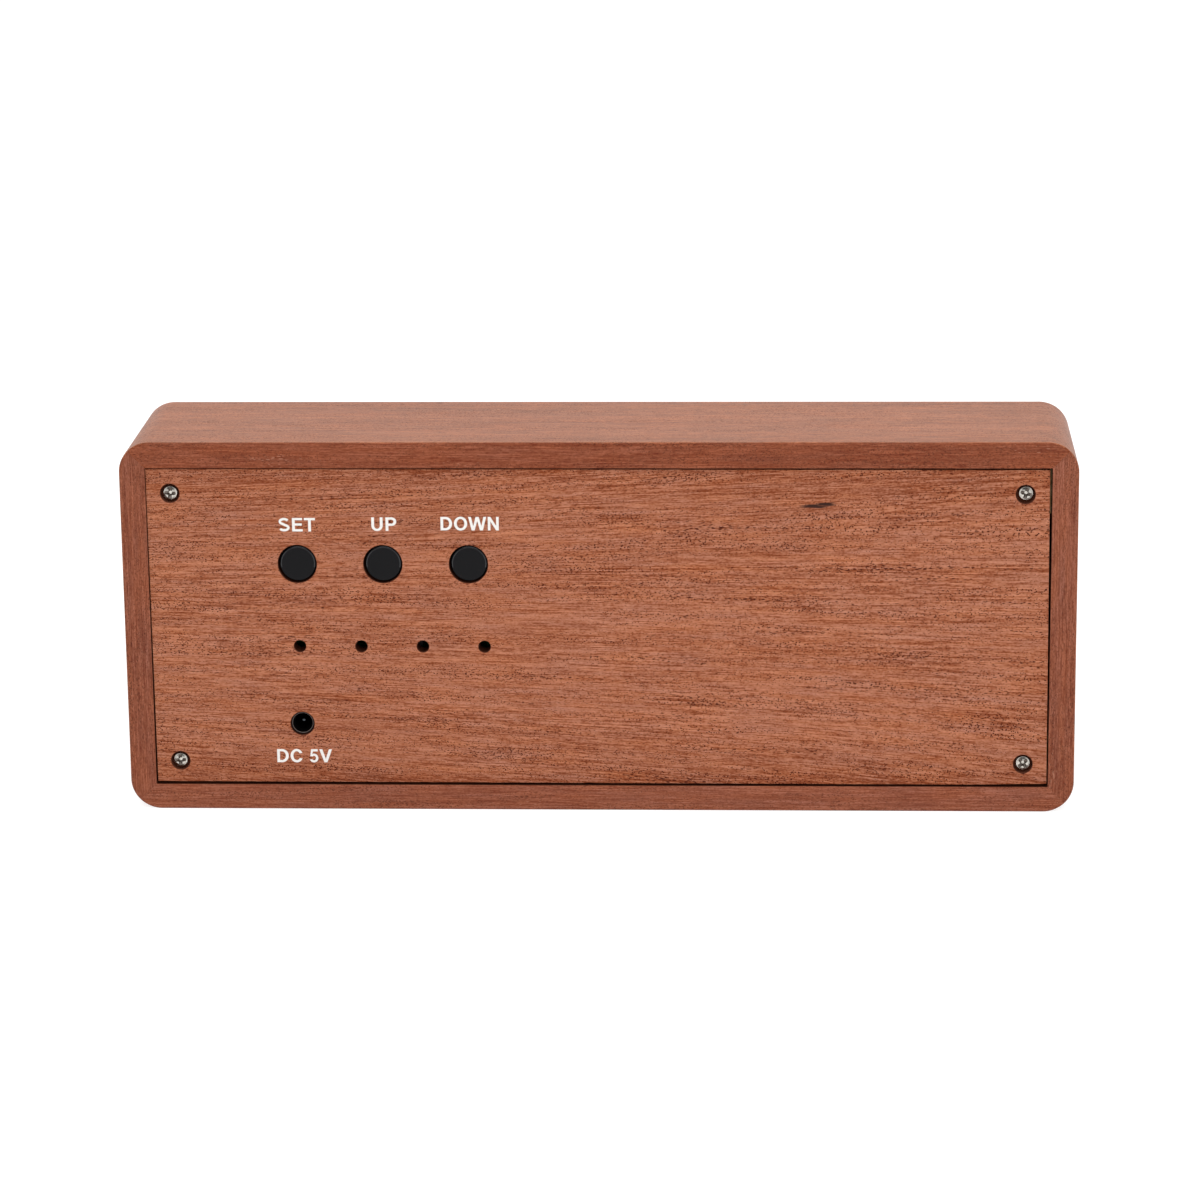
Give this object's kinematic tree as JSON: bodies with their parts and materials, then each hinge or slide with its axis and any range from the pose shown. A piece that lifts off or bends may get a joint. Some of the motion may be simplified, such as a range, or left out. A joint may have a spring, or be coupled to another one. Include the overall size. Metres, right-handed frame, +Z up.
{
  "type": "wooden alarm clock",
  "caption": "Block-shaped wooden LED alarm clock: veneer face that digits shine through, and a screwed back panel with push buttons, sound holes and a DC socket.",
  "frame": {"origin": "middle of the base, on the surface that the clock stands on", "axes": "+Z up, -Y out of the face, +Y out of the back panel, +X right as seen from the face"},
  "size_m": [0.2, 0.04, 0.08],
  "materials": {
    "case_wood": "satin lacquered red-brown veneer",
    "panel_wood": "satin lacquered red-brown veneer",
    "face_wood": "thin satin veneer that light shines through",
    "block_wood": "sawn softwood",
    "mask_board": "black fibreboard",
    "button_plastic": "fine moulded texture",
    "screw_nickel": "bright nickel plate",
    "plated_steel": "tin plate",
    "jack_plastic": "moulded black plastic",
    "chip_resin": "black resin",
    "holder_plastic": "natural moulded plastic",
    "spacer_nylon": "natural nylon",
    "circuit_board": "green solder mask",
    "reflector_white": "white moulded plastic",
    "diffuser": "milky film",
    "led_resin": "clear yellowish resin",
    "brass_disc": "rolled sheet",
    "ferrite": "sintered",
    "capacitor_can": "printed sleeve, plain",
    "ribbon_vinyl": "grey vinyl",
    "label_ink": "white printed ink",
    "digit_glow": "light through veneer"
  },
  "bodies": {
    "case": {"back_panel": "panel_wood", "back_panel_screws": "screw_nickel", "backup_cell": "plated_steel", "bottom_board": "case_wood", "bottom_left_corner_block": "block_wood", "bottom_right_corner_block": "block_wood", "buzzer_base": "plated_steel", "buzzer_case": "chip_resin", "buzzer_diaphragm": "brass_disc", "buzzer_magnet": "ferrite", "capacitor": "capacitor_can", "cell_clip": "plated_steel", "cell_holder": "holder_plastic", "control_board": "circuit_board", "control_connector": "holder_plastic", "control_screws": "screw_nickel", "control_spacers": "spacer_nylon", "crystal": "plated_steel", "dc_jack_housing": "jack_plastic", "dc_jack_pin": "plated_steel", "dc_jack_spring": "plated_steel", "diffuser_film": "diffuser", "display_board": "circuit_board", "display_connector": "holder_plastic", "display_driver": "chip_resin", "display_screws": "screw_nickel", "display_spacers": "spacer_nylon", "down_switch_body": "chip_resin", "down_switch_cover": "plated_steel", "down_switch_dome": "plated_steel", "face_veneer": "face_wood", "led_chips": "led_resin", "left_board": "case_wood", "light_mask": "mask_board", "microcontroller": "chip_resin", "reflector_block": "reflector_white", "ribbon_cable": "ribbon_vinyl", "right_board": "case_wood", "set_switch_body": "chip_resin", "set_switch_cover": "plated_steel", "set_switch_dome": "plated_steel", "switch_leads": "plated_steel", "top_board": "case_wood", "top_left_corner_block": "block_wood", "top_right_corner_block": "block_wood", "up_switch_body": "chip_resin", "up_switch_cover": "plated_steel", "up_switch_dome": "plated_steel"},
    "set_key": {"set_button": "button_plastic", "set_switch_plunger": "chip_resin"},
    "up_key": {"up_button": "button_plastic", "up_switch_plunger": "chip_resin"},
    "down_key": {"down_button": "button_plastic", "down_switch_plunger": "chip_resin"}
  },
  "joints": [
    {"name": "set_press", "type": "slide", "parent": "case", "child": "set_key", "axis": [0, -1, 0], "range_m": [0, 0.0005], "stiffness_N_per_m": 800, "deforming": ["set_switch_dome"]},
    {"name": "up_press", "type": "slide", "parent": "case", "child": "up_key", "axis": [0, -1, 0], "range_m": [0, 0.0005], "stiffness_N_per_m": 800, "deforming": ["up_switch_dome"]},
    {"name": "down_press", "type": "slide", "parent": "case", "child": "down_key", "axis": [0, -1, 0], "range_m": [0, 0.0005], "stiffness_N_per_m": 800, "deforming": ["down_switch_dome"]}
  ]
}
